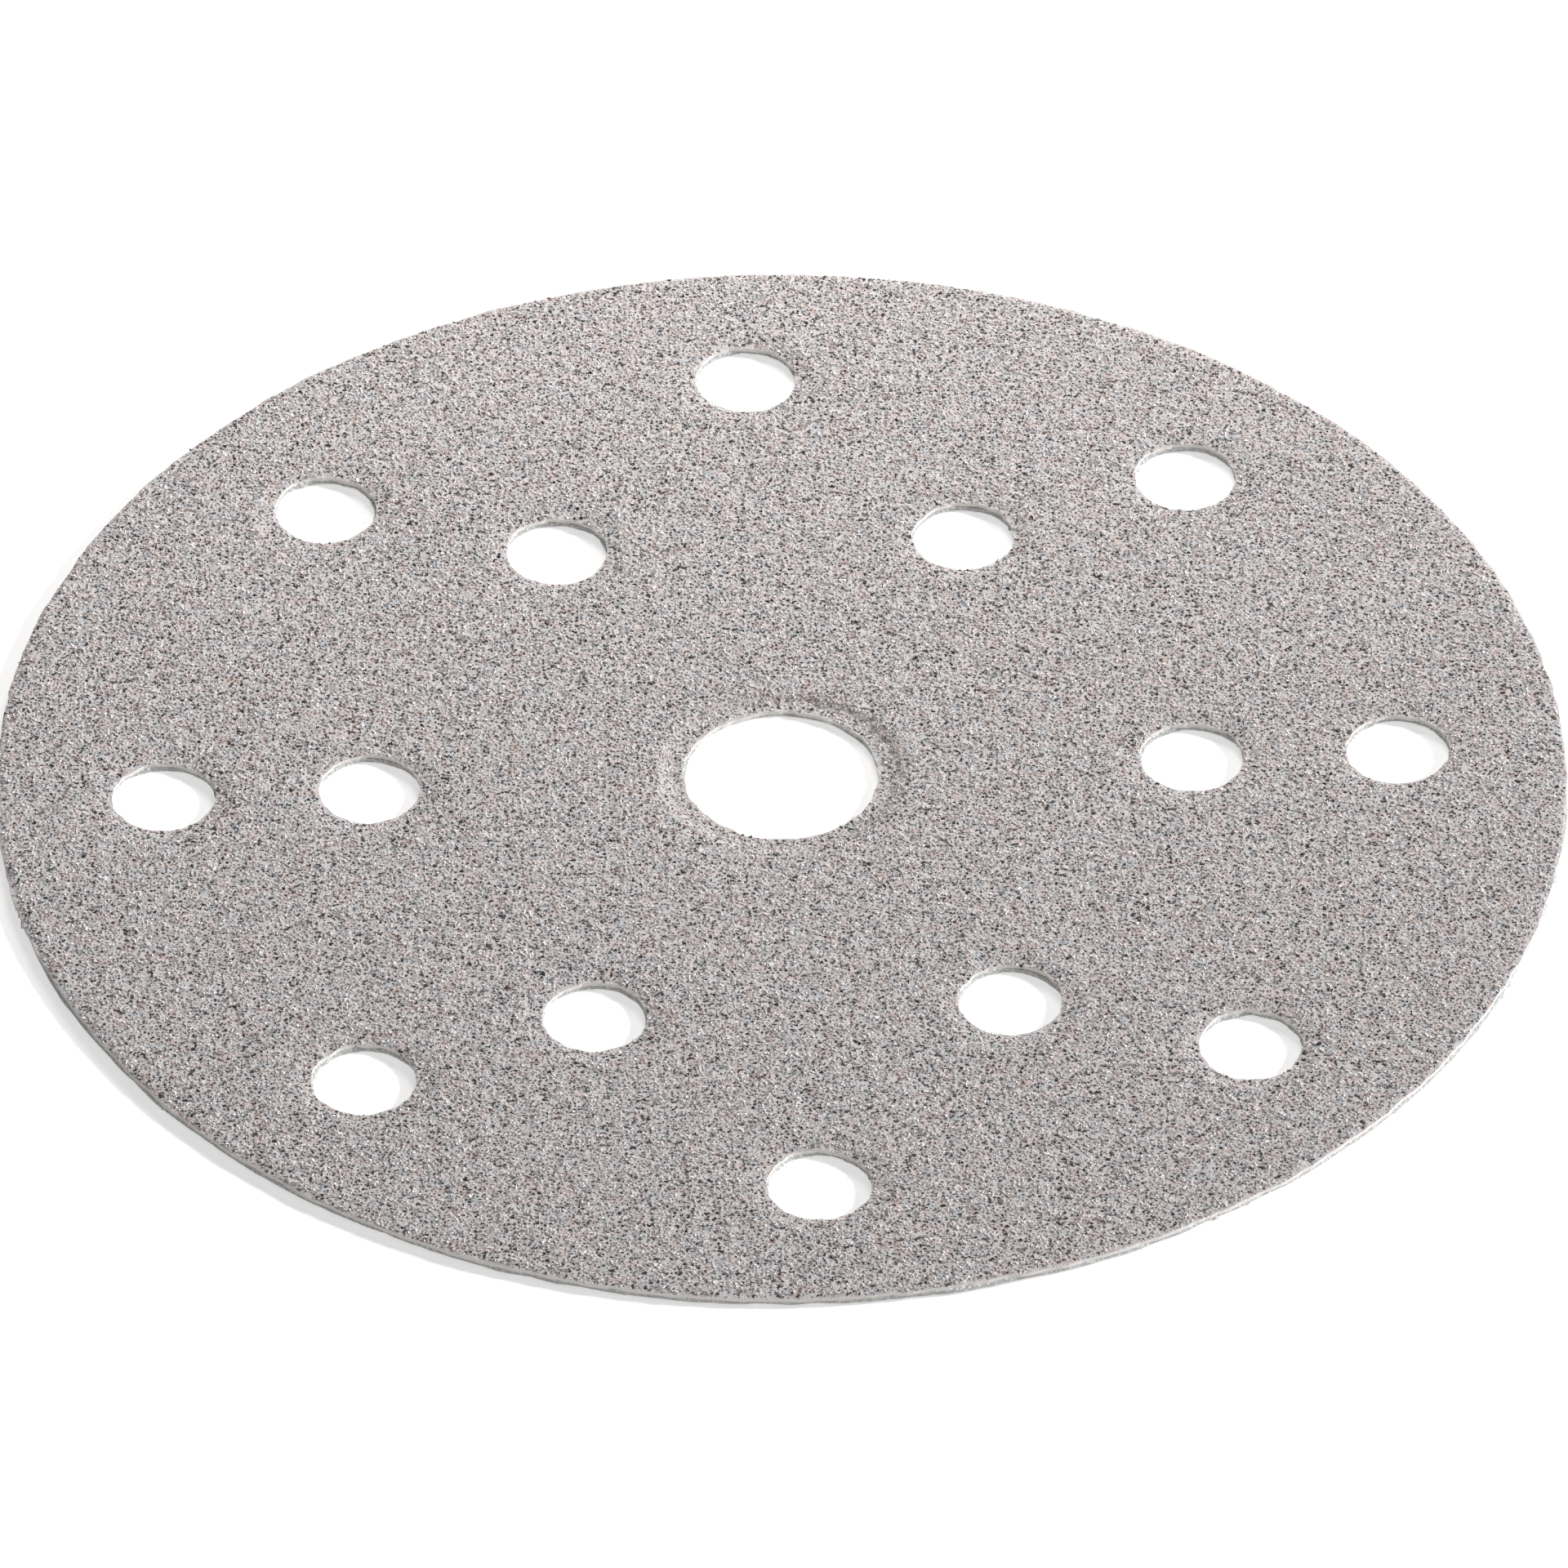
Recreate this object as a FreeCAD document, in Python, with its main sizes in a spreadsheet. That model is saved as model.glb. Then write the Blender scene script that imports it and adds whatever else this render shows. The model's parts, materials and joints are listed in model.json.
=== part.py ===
import FreeCAD, Part
import os
import Sketcher

# Hook and loop sanding disc with a centre hole and two circles of dust holes.
# The disc lies grit side up on its loop fabric. The origin is the centre of the
# fabric's lower face, +Z is up, and +X runs through a hole of each circle.
# Lengths are in millimetres.

SIZES = {
    # Discs and holes, all cut by one die
    "disc_dia": 152.4,
    "centre_dia": 19.0,
    "dust_dia": 10.0,
    "outer_circle_dia": 120.0,
    "inner_circle_dia": 80.0,
    "outer_count": 8,
    "inner_count": 6,
    # Paper with its grit, and the loop fabric laminated under it
    "sheet_thick": 0.55,
    "loop_thick": 0.75,
    # The die presses the sheet down round each dust hole: a bend, then a straight slope
    "dust_dip_width": 2.3,
    "dust_dip_depth": 0.22,
    "dust_bend_width": 0.7,
    # Round the centre hole it leaves a double bend with a level lip inside it
    "centre_dip_width": 2.4,
    "centre_dip_depth": 0.42,
    "centre_lip_width": 0.8,
    # The outer edge rolls over a little
    "edge_roll_width": 0.9,
    "edge_roll_depth": 0.12,
}

# Radii and levels that follow from the sizes. Names that end in _top lie on the
# grit face, names that end in _seam where the sheet meets the fabric.
PLACES = {
    "disc_radius": "=sizes.disc_dia / 2",
    "centre_radius": "=sizes.centre_dia / 2",
    "dust_radius": "=sizes.dust_dia / 2",
    "outer_circle_radius": "=sizes.outer_circle_dia / 2",
    "inner_circle_radius": "=sizes.inner_circle_dia / 2",
    "flat_seam": "=sizes.loop_thick",
    "flat_top": "=flat_seam + sizes.sheet_thick",
    # Outer edge
    "roll_radius": "=disc_radius - sizes.edge_roll_width",
    "roll_seam": "=flat_seam - sizes.edge_roll_depth",
    "roll_top": "=flat_top - sizes.edge_roll_depth",
    # Centre hole: lip, middle of the double bend, and where the dip begins
    "lip_radius": "=centre_radius + sizes.centre_lip_width",
    "lip_seam": "=flat_seam - sizes.centre_dip_depth",
    "lip_top": "=flat_top - sizes.centre_dip_depth",
    "turn_radius": "=lip_radius + sizes.centre_dip_width / 2",
    "turn_seam": "=flat_seam - sizes.centre_dip_depth / 2",
    "turn_top": "=flat_top - sizes.centre_dip_depth / 2",
    "dip_radius": "=lip_radius + sizes.centre_dip_width",
    # Dust hole, measured from the hole's own axis. The bend's drop is the share
    # of the depth at which it runs into the straight slope without a kink.
    "dust_dip_radius": "=dust_radius + sizes.dust_dip_width",
    "dust_bend_drop": "=sizes.dust_dip_depth * sizes.dust_bend_width"
    " / (2 * sizes.dust_dip_width - sizes.dust_bend_width)",
    "dust_bend_seam": "=flat_seam - dust_bend_drop",
    "dust_bend_top": "=flat_top - dust_bend_drop",
    "dust_rim_seam": "=flat_seam - sizes.dust_dip_depth",
    "dust_rim_top": "=flat_top - sizes.dust_dip_depth",
    # The same radii of a dust hole, seen from the disc's axis
    "outer_rim_radius": "=outer_circle_radius + dust_radius",
    "outer_bend_radius": "=outer_circle_radius + dust_dip_radius - sizes.dust_bend_width",
    "outer_dip_radius": "=outer_circle_radius + dust_dip_radius",
    "inner_rim_radius": "=inner_circle_radius + dust_radius",
    "inner_bend_radius": "=inner_circle_radius + dust_dip_radius - sizes.dust_bend_width",
    "inner_dip_radius": "=inner_circle_radius + dust_dip_radius",
}

FLOOR = None
LEVEL_AT_START = "level at start"
LEVEL_AT_END = "level at end"
STRAIGHT = "straight"

ORIGIN_POINT = (-1, 1)
HORIZONTAL_AXIS = -1
ARC_CENTRE = 3
FULL_TURN = 360

document = FreeCAD.newDocument("hook_and_loop_sanding_disc")


def fill_sheet(name, cells):
    """Spreadsheet with one named value a row."""
    sheet = document.addObject("Spreadsheet::Sheet", name)
    for row, (alias, content) in enumerate(cells.items(), start=1):
        sheet.set(f"A{row}", alias)
        sheet.set(f"B{row}", str(content))
        sheet.setAlias(f"B{row}", alias)
    document.recompute()
    return sheet


sizes = fill_sheet("sizes", SIZES)
places = fill_sheet("places", PLACES)


def origin_item(body, role):
    """One of the body's own origin planes or axes."""
    return next(item for item in body.Origin.OriginFeatures if item.Role == role)


def new_sketch(body, name, plane):
    sketch = body.newObject("Sketcher::SketchObject", name)
    sketch.AttachmentSupport = [(origin_item(body, plane), "")]
    sketch.MapMode = "FlatFace"
    return sketch


def bind(sketch, constraint, name, alias):
    """Add a sized constraint and tie it to a value on the places sheet."""
    index = sketch.addConstraint(constraint)
    sketch.renameConstraint(index, name)
    sketch.setExpression(f"Constraints.{name}", f"places.{alias}")


def arc_between(start, end, side):
    """Arc from start to end whose centre is straight above or below its level end."""
    level, other = (start, end) if side == LEVEL_AT_START else (end, start)
    chord = other - level
    radius = chord.Length**2 / (2 * chord.y)
    centre = level + FreeCAD.Vector(0, radius, 0)
    middle = (start + end) / 2 - centre
    middle.normalize()
    return Part.Arc(start, centre + middle * abs(radius), end)


def end_of(sketch, side, point):
    """Which end of a side lies at a point: 1 for its start, 2 for its end."""
    gaps = {end: sketch.getPoint(side, end).distanceToPoint(point) for end in (1, 2)}
    return min(gaps, key=gaps.get)


def draw_section(sketch, corners):
    """Closed section from corners, each a radius, a level and the side that leaves it."""
    points = [
        FreeCAD.Vector(places.get(radius), places.get(level) if level else 0, 0)
        for radius, level, _ in corners
    ]
    sides = []
    for number, (_, _, side) in enumerate(corners):
        start = points[number]
        end = points[(number + 1) % len(points)]
        line = Part.LineSegment(start, end)
        shape = line if side == STRAIGHT else arc_between(start, end, side)
        sides.append(sketch.addGeometry(shape, False))
    for number, (radius, level, side) in enumerate(corners):
        point = points[number]
        this, last = sides[number], sides[number - 1]
        here = (this, end_of(sketch, this, point))
        before = (last, end_of(sketch, last, point))
        sketch.addConstraint(Sketcher.Constraint("Coincident", *before, *here))
        across = Sketcher.Constraint("DistanceX", *ORIGIN_POINT, *here, point.x)
        bind(sketch, across, f"radius{number}", radius)
        if level is FLOOR:
            sketch.addConstraint(Sketcher.Constraint("PointOnObject", *here, HORIZONTAL_AXIS))
        else:
            up = Sketcher.Constraint("DistanceY", *ORIGIN_POINT, *here, point.y)
            bind(sketch, up, f"level{number}", level)
        if side != STRAIGHT:
            level_corner = number if side == LEVEL_AT_START else (number + 1) % len(points)
            level_end = (this, end_of(sketch, this, points[level_corner]))
            sketch.addConstraint(Sketcher.Constraint("Vertical", this, ARC_CENTRE, *level_end))


def cut_disc(body, upper, lower):
    """Round blank with its centre hole, dipped lip and rolled edge, turned about Z.

    upper and lower name the surface above and below: top, seam, or FLOOR for the flat
    underside.
    """
    corners = [
        ("centre_radius", f"lip_{upper}", STRAIGHT),
        ("lip_radius", f"lip_{upper}", LEVEL_AT_START),
        ("turn_radius", f"turn_{upper}", LEVEL_AT_END),
        ("dip_radius", f"flat_{upper}", STRAIGHT),
        ("roll_radius", f"flat_{upper}", LEVEL_AT_START),
        ("disc_radius", f"roll_{upper}", STRAIGHT),
    ]
    if lower is FLOOR:
        corners += [("disc_radius", FLOOR, STRAIGHT), ("centre_radius", FLOOR, STRAIGHT)]
    else:
        corners += [
            ("disc_radius", f"roll_{lower}", LEVEL_AT_END),
            ("roll_radius", f"flat_{lower}", STRAIGHT),
            ("dip_radius", f"flat_{lower}", LEVEL_AT_START),
            ("turn_radius", f"turn_{lower}", LEVEL_AT_END),
            ("lip_radius", f"lip_{lower}", STRAIGHT),
            ("centre_radius", f"lip_{lower}", STRAIGHT),
        ]
    sketch = new_sketch(body, f"{body.Label}_section", "XZ_Plane")
    draw_section(sketch, corners)
    blank = body.newObject("PartDesign::Revolution", f"{body.Label}_blank")
    blank.Profile = sketch
    blank.ReferenceAxis = (sketch, ["V_Axis"])
    blank.Angle = FULL_TURN
    sketch.Visibility = False
    document.recompute()


def clear_round(body, circle):
    """Take out the flat round that the die dishes at the first hole of a circle."""
    sketch = new_sketch(body, f"{body.Label}_{circle}_round", "XY_Plane")
    centre = FreeCAD.Vector(places.get(f"{circle}_circle_radius"), 0, 0)
    radius = places.get("dust_dip_radius")
    ring = sketch.addGeometry(Part.Circle(centre, FreeCAD.Vector(0, 0, 1), radius), False)
    middle = (ring, ARC_CENTRE)
    sketch.addConstraint(Sketcher.Constraint("PointOnObject", *middle, HORIZONTAL_AXIS))
    across = Sketcher.Constraint("DistanceX", *ORIGIN_POINT, *middle, centre.x)
    bind(sketch, across, "circle_radius", f"{circle}_circle_radius")
    bind(sketch, Sketcher.Constraint("Radius", ring, radius), "dip_radius", "dust_dip_radius")
    before = body.Shape.Volume
    round_cut = body.newObject("PartDesign::Pocket", f"{body.Label}_{circle}_cut")
    round_cut.Profile = sketch
    round_cut.Type = "ThroughAll"
    round_cut.Reversed = True
    sketch.Visibility = False
    document.recompute()
    if body.Shape.Volume >= before:
        raise RuntimeError(f"{round_cut.Name} cut nothing")
    return round_cut


def dished_ring(body, circle, upper, lower):
    """The dished material left round the first dust hole of a circle, turned about its axis."""
    corners = [
        (f"{circle}_rim_radius", f"dust_rim_{upper}", STRAIGHT),
        (f"{circle}_bend_radius", f"dust_bend_{upper}", LEVEL_AT_END),
        (f"{circle}_dip_radius", f"flat_{upper}", STRAIGHT),
    ]
    if lower is FLOOR:
        corners += [
            (f"{circle}_dip_radius", FLOOR, STRAIGHT),
            (f"{circle}_rim_radius", FLOOR, STRAIGHT),
        ]
    else:
        corners += [
            (f"{circle}_dip_radius", f"flat_{lower}", LEVEL_AT_START),
            (f"{circle}_bend_radius", f"dust_bend_{lower}", STRAIGHT),
            (f"{circle}_rim_radius", f"dust_rim_{lower}", STRAIGHT),
        ]
    sketch = new_sketch(body, f"{body.Label}_{circle}_ring", "XZ_Plane")
    draw_section(sketch, corners)
    foot = FreeCAD.Vector(places.get(f"{circle}_circle_radius"), 0, 0)
    head = foot + FreeCAD.Vector(0, places.get("flat_top"), 0)
    axis = sketch.addGeometry(Part.LineSegment(foot, head), True)
    sketch.addConstraint(Sketcher.Constraint("Vertical", axis))
    sketch.addConstraint(Sketcher.Constraint("PointOnObject", axis, 1, HORIZONTAL_AXIS))
    across = Sketcher.Constraint("DistanceX", *ORIGIN_POINT, axis, 1, foot.x)
    bind(sketch, across, "axis_radius", f"{circle}_circle_radius")
    tall = Sketcher.Constraint("DistanceY", *ORIGIN_POINT, axis, 2, head.y)
    bind(sketch, tall, "axis_height", "flat_top")
    ring = body.newObject("PartDesign::Revolution", f"{body.Label}_{circle}_dish")
    ring.Profile = sketch
    ring.ReferenceAxis = (sketch, ["Axis0"])
    ring.Angle = FULL_TURN
    sketch.Visibility = False
    document.recompute()
    return ring


def cut_circle(body, circle, upper, lower):
    """One circle of dust holes, evenly spaced from +X."""
    features = [clear_round(body, circle), dished_ring(body, circle, upper, lower)]
    pattern = body.newObject("PartDesign::PolarPattern", f"{body.Label}_{circle}_circle")
    pattern.Originals = features
    pattern.Axis = (origin_item(body, "Z_Axis"), [""])
    pattern.Angle = FULL_TURN
    pattern.setExpression("Occurrences", f"sizes.{circle}_count")
    body.Tip = pattern
    document.recompute()


def build_layer(name, upper, lower):
    """One layer of the disc, from its upper to its lower surface."""
    body = document.addObject("PartDesign::Body", name)
    body.Label = name
    cut_disc(body, upper, lower)
    cut_circle(body, "outer", upper, lower)
    cut_circle(body, "inner", upper, lower)
    return body


def check(layers):
    """Stop if anything in the document failed or a layer isn't one valid solid."""
    for item in document.Objects:
        if {"Invalid", "Error"} & set(item.State):
            raise RuntimeError(f"{item.Name} failed: {item.State}")
    for layer in layers:
        shape = layer.Shape
        if shape.isNull() or not shape.isValid() or len(shape.Solids) != 1:
            raise RuntimeError(f"{layer.Label} is not one valid solid")


layers = [
    build_layer("abrasive_sheet", "top", "seam"),
    build_layer("loop_fabric", "seam", FLOOR),
]
document.recompute()
check(layers)

os.makedirs("parts", exist_ok=True)
for layer in layers:
    layer.Shape.exportStep(f"parts/{layer.Label}.step")
    box = layer.Shape.BoundBox
    print(
        f"{layer.Label}: {layer.Shape.Volume:.1f} mm3, "
        f"{box.XLength:.2f} x {box.YLength:.2f} x {box.ZLength:.3f} mm, "
        f"z from {box.ZMin:.3f}"
    )
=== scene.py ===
import json
import logging
import math
from dataclasses import dataclass, field
from enum import Enum
from typing import Sequence

import bmesh
import bpy
import numpy as np
from bmesh.types import BMEdge, BMesh, BMVert
from bpy.types import ID, Material, Mesh, Node, NodeSocket, Object, World
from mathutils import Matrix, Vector
from numpy import ndarray
from numpy.random import Generator


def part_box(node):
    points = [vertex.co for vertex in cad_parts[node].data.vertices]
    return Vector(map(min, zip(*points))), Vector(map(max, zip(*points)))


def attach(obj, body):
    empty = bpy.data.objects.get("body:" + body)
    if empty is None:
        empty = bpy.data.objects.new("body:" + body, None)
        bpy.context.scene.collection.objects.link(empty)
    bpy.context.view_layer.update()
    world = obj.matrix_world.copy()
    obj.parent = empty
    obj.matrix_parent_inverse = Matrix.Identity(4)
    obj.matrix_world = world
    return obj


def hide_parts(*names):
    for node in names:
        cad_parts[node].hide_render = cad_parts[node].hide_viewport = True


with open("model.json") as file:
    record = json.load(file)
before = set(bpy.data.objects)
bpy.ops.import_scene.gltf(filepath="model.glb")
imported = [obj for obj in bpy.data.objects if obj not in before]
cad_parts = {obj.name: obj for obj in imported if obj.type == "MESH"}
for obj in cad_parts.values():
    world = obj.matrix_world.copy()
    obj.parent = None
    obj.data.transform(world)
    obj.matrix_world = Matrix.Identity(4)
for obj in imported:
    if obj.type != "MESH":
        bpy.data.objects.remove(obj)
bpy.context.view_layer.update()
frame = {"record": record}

log = logging.getLogger("sanding_disc")

# Lengths of the disc are in millimetres, as on the drawing. Meshes, the camera and the stage are in metres.
MM = 0.001
SHEET_NODE = "abrasive_sheet"
FABRIC_NODE = "loop_fabric"
# A face whose normal rises less than this belongs to the wall of a cut edge.
WALL_RISE = 0.5
# Numbers of the Mix node's sockets for the share, the two colours and the result.
MIX_SHARE, MIX_FIRST, MIX_SECOND, MIX_RESULT = 0, 6, 7, 2

Colour = tuple[float, float, float]


class Slot(Enum):
    """The record's material slots."""

    GRIT = "grit_coat"
    LOOPS = "loop_velour"


# The disc's shape


def arc_drop(reach: ndarray, width: float, depth: float) -> ndarray:
    """Drop along an arc that starts level and falls by depth over width.

    Args:
        reach: Distance from the arc's level end, held to the arc's width.
        width: Horizontal width of the arc.
        depth: Height of the arc.

    Returns:
        The drop at each distance.
    """
    radius = (width**2 + depth**2) / (2 * depth)
    inside = np.clip(reach, 0, width)
    return radius - np.sqrt(radius**2 - inside**2)


@dataclass(frozen=True)
class Circle:
    """A round edge of the disc, in plan."""

    x: float
    y: float
    radius: float

    def gap(self, x: ndarray, y: ndarray) -> ndarray:
        """Distance of points from the edge, negative inside the circle."""
        return np.hypot(x - self.x, y - self.y) - self.radius


@dataclass(frozen=True)
class DiscShape:
    """The disc's outline, holes and pressed forms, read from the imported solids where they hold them."""

    radius: float
    top: float
    seam: float
    centre_hole: Circle
    dust_holes: tuple[Circle, ...]
    dust_dip_width: float = 2.3
    dust_dip_depth: float = 0.22
    dust_bend_width: float = 0.7
    centre_dip_width: float = 2.4
    centre_dip_depth: float = 0.42
    centre_lip_width: float = 0.8
    edge_roll_width: float = 0.9
    edge_roll_depth: float = 0.12

    @classmethod
    def from_frame(cls) -> "DiscShape":
        """Reads the outline from the solids' boxes and the holes from the record's mounts.

        Returns:
            The shape, with its dust holes in the order of the record's two patterns.
        """
        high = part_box(SHEET_NODE)[1]
        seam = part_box(FABRIC_NODE)[1].z
        mounts = {mount["name"]: mount["dims"] for mount in frame["record"]["mounts"]}
        dust = []
        for name in ("outer_dust_holes", "inner_dust_holes"):
            dims = mounts[name]
            reach = dims["pcd_mm"] / 2
            for step in range(dims["count"]):
                angle = math.tau * step / dims["count"]
                dust.append(Circle(reach * math.cos(angle), reach * math.sin(angle), dims["hole_r_mm"]))
        return cls(
            radius=high.x / MM,
            top=high.z / MM,
            seam=seam / MM,
            centre_hole=Circle(0, 0, mounts["centre_hole"]["r_mm"]),
            dust_holes=tuple(dust),
        )

    @property
    def outline(self) -> Circle:
        """The outer edge."""
        return Circle(0, 0, self.radius)

    @property
    def holes(self) -> tuple[Circle, ...]:
        """All the holes, the centre one first."""
        return (self.centre_hole, *self.dust_holes)

    def dust_drop(self, gap: ndarray) -> ndarray:
        """Drop of the dish round a dust hole: a bend, then a straight slope down to the hole.

        Args:
            gap: Distances outside the hole's edge.

        Returns:
            The drop at each distance.
        """
        reach = self.dust_dip_width - gap
        bend = self.dust_bend_width
        bend_depth = self.dust_dip_depth * bend / (2 * self.dust_dip_width - bend)
        slope = (self.dust_dip_depth - bend_depth) / (self.dust_dip_width - bend)
        return arc_drop(reach, bend, bend_depth) + slope * np.clip(reach - bend, 0, None)

    def centre_drop(self, gap: ndarray) -> ndarray:
        """Drop of the dish round the centre hole: an S shaped side, then a level lip.

        Args:
            gap: Distances outside the hole's edge.

        Returns:
            The drop at each distance.
        """
        width, depth = self.centre_dip_width / 2, self.centre_dip_depth / 2
        reach = np.clip(self.centre_lip_width + 2 * width - gap, 0, 2 * width)
        upper = arc_drop(reach, width, depth)
        lower = depth - arc_drop(2 * width - reach, width, depth)
        return upper + np.where(reach > width, lower, 0)

    def edge_drop(self, gap: ndarray) -> ndarray:
        """Drop of the rolled outer edge at distances inside it."""
        return arc_drop(self.edge_roll_width - gap, self.edge_roll_width, self.edge_roll_depth)

    def drop(self, x: ndarray, y: ndarray) -> ndarray:
        """How far the die pressed the disc down.

        Args:
            x: X of points in plan.
            y: Y of the points.

        Returns:
            The drop at each point.
        """
        total = self.edge_drop(-self.outline.gap(x, y)) + self.centre_drop(self.centre_hole.gap(x, y))
        for hole in self.dust_holes:
            total = total + self.dust_drop(hole.gap(x, y))
        return total

    def press(self, x: ndarray, y: ndarray) -> ndarray:
        """How hard the die bent the sheet round the centre hole.

        Args:
            x: X of points in plan.
            y: Y of the points.

        Returns:
            1 halfway up the dish's side, falling to 0 on its lip and on the flat.
        """
        half = self.centre_dip_width / 2
        middle = self.centre_lip_width + half
        return np.clip(1 - np.abs(self.centre_hole.gap(x, y) - middle) / half, 0, 1)

    def room(self, x: ndarray, y: ndarray) -> ndarray:
        """Distance of points in plan from the nearest cut edge, negative off the disc."""
        return np.min([-self.outline.gap(x, y), *(hole.gap(x, y) for hole in self.holes)], axis=0)


# Making pieces


def add_object(name: str, data: ID) -> Object:
    """Makes an object and links it to the scene.

    Args:
        name: The object's name.
        data: Its mesh, camera or light.

    Returns:
        The new object.
    """
    made = bpy.data.objects.new(name, data)
    bpy.context.scene.collection.objects.link(made)
    return made


def dress_piece(mesh: Mesh, materials: Sequence[Material]) -> Object:
    """Makes a mesh a piece of the disc.

    Args:
        mesh: The finished mesh, whose name the piece takes.
        materials: Its materials, in the order of the faces' material numbers.

    Returns:
        The new object.
    """
    piece = add_object(mesh.name, mesh)
    for material in materials:
        mesh.materials.append(material)
    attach(piece, "root")
    return piece


@dataclass(frozen=True)
class Band:
    """Rings that follow a kind of cut edge: their distances from it and their number of sides."""

    gaps: tuple[float, ...]
    segments: int


@dataclass
class Web:
    """A thin sheet with the disc's outline and holes.

    A band of rings follows each cut edge, and a flat field fills the rest. The lower face follows the upper
    one at the sheet's thickness, but never below the lowest level.
    """

    shape: DiscShape
    level: float
    thick: float
    edge_band: Band
    centre_band: Band
    dust_band: Band
    rag: float
    seed: int
    lowest: float = 0.0
    rag_runs: tuple[int, ...] = (3, 9)
    rag_limit: float = 2.0

    def ring(self, bm: BMesh, circle: Circle, radius: float, segments: int) -> list[BMEdge]:
        """Makes one ring of edges.

        Args:
            bm: Mesh to add to.
            circle: Circle whose axis the ring has.
            radius: Radius of the ring.
            segments: Number of its sides.

        Returns:
            Its edges.
        """
        made = bmesh.ops.create_circle(bm, segments=segments, radius=radius)["verts"]
        bmesh.ops.translate(bm, verts=made, vec=Vector((circle.x, circle.y, 0)))
        return list(dict.fromkeys(edge for vertex in made for edge in vertex.link_edges))

    def rings(self, bm: BMesh, circle: Circle, outward: int, band: Band) -> list[list[BMEdge]]:
        """Makes a band from a cut edge to the flat field.

        Args:
            bm: Mesh to add to.
            circle: The cut edge.
            outward: 1 where the sheet lies outside the edge, -1 where it lies inside.
            band: Distances and sides of its rings.

        Returns:
            The edges of each ring, the cut edge's first.
        """
        made = [self.ring(bm, circle, circle.radius + outward * gap, band.segments) for gap in band.gaps]
        for near, far in zip(made[:-1], made[1:]):
            bmesh.ops.bridge_loops(bm, edges=near + far)
        return made

    def build(self) -> BMesh:
        """Makes the closed sheet, in metres.

        Returns:
            Its mesh, in which the walls of the cut edges have material number 1.
        """
        bm = bmesh.new()
        edges = [(self.shape.outline, -1, self.edge_band), (self.shape.centre_hole, 1, self.centre_band)]
        edges += [(hole, 1, self.dust_band) for hole in self.shape.dust_holes]
        rng = np.random.default_rng(self.seed)
        field_edges = []
        for circle, outward, band in edges:
            made = self.rings(bm, circle, outward, band)
            field_edges += made[-1]
            self.roughen(made[0], circle, outward, rng)
        bmesh.ops.triangle_fill(bm, edges=field_edges, use_beauty=True, use_dissolve=False)
        self.drape(bm)
        self.close(bm)
        bmesh.ops.scale(bm, vec=Vector((MM, MM, MM)), verts=bm.verts)
        return bm

    def roughen(self, cut: Sequence[BMEdge], circle: Circle, outward: int, rng: Generator) -> None:
        """Moves a cut edge a little in and out of its circle, as a worn die leaves it.

        Args:
            cut: The edges of the cut.
            circle: The circle that they lie on.
            outward: 1 where the sheet lies outside the circle, -1 where it lies inside.
            rng: Source of the unevenness.
        """
        axis = Vector((circle.x, circle.y, 0))
        vertices = list(dict.fromkeys(vertex for edge in cut for vertex in edge.verts))
        vertices.sort(key=lambda vertex: math.atan2(vertex.co.y - circle.y, vertex.co.x - circle.x))
        wear = rng.normal(0, self.rag, len(vertices))
        waves = sum(np.mean([np.roll(wear, step) for step in range(run)], axis=0) for run in self.rag_runs)
        most = self.rag * self.rag_limit
        waves = np.clip(waves, -most, most)
        for vertex, wave in zip(vertices, waves):
            vertex.co += (vertex.co - axis).normalized() * outward * wave

    def drape(self, bm: BMesh) -> None:
        """Lays the flat sheet over the pressed forms and marks where the die bent it.

        Args:
            bm: The flat sheet.
        """
        press = bm.verts.layers.float.new("press")
        vertices = list(bm.verts)
        x, y = np.array([vertex.co.xy for vertex in vertices]).T
        for vertex, drop, bend in zip(vertices, self.shape.drop(x, y), self.shape.press(x, y)):
            vertex.co.z = self.level - drop
            vertex[press] = bend

    def close(self, bm: BMesh) -> None:
        """Gives the sheet its thickness, straight down, with a wall along each cut edge.

        Args:
            bm: The draped sheet.
        """
        sheet = [*bm.verts, *bm.edges, *bm.faces]
        made = bmesh.ops.extrude_face_region(bm, geom=sheet, use_keep_orig=True)["geom"]
        for vertex in (item for item in made if isinstance(item, BMVert)):
            vertex.co.z = max(vertex.co.z - self.thick, self.lowest)
        bmesh.ops.recalc_face_normals(bm, faces=bm.faces)
        for face in bm.faces:
            face.material_index = int(abs(face.normal.z) < WALL_RISE)

    def piece(self, name: str, node: str, slot: Slot, materials: Sequence[Material]) -> Object:
        """Makes the sheet the piece that stands for a solid.

        Args:
            name: The piece's name.
            node: The solid that it replaces.
            slot: The record's slot that its finish belongs to. It is not used.
            materials: Materials of the faces and of the cut edges.

        Returns:
            The new object.
        """
        bm = self.build()
        mesh = bpy.data.meshes.new(name)
        bm.to_mesh(mesh)
        bm.free()
        piece = dress_piece(mesh, materials)
        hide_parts(node)
        return piece


@dataclass(frozen=True)
class Copies:
    """Which small shape each copy has, how it is turned and stretched, and where it goes."""

    kinds: ndarray
    turns: ndarray
    places: ndarray

    def part(self, own: ndarray) -> "Copies":
        """The copies with these numbers."""
        return Copies(self.kinds[own], self.turns[own], self.places[own])


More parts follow.
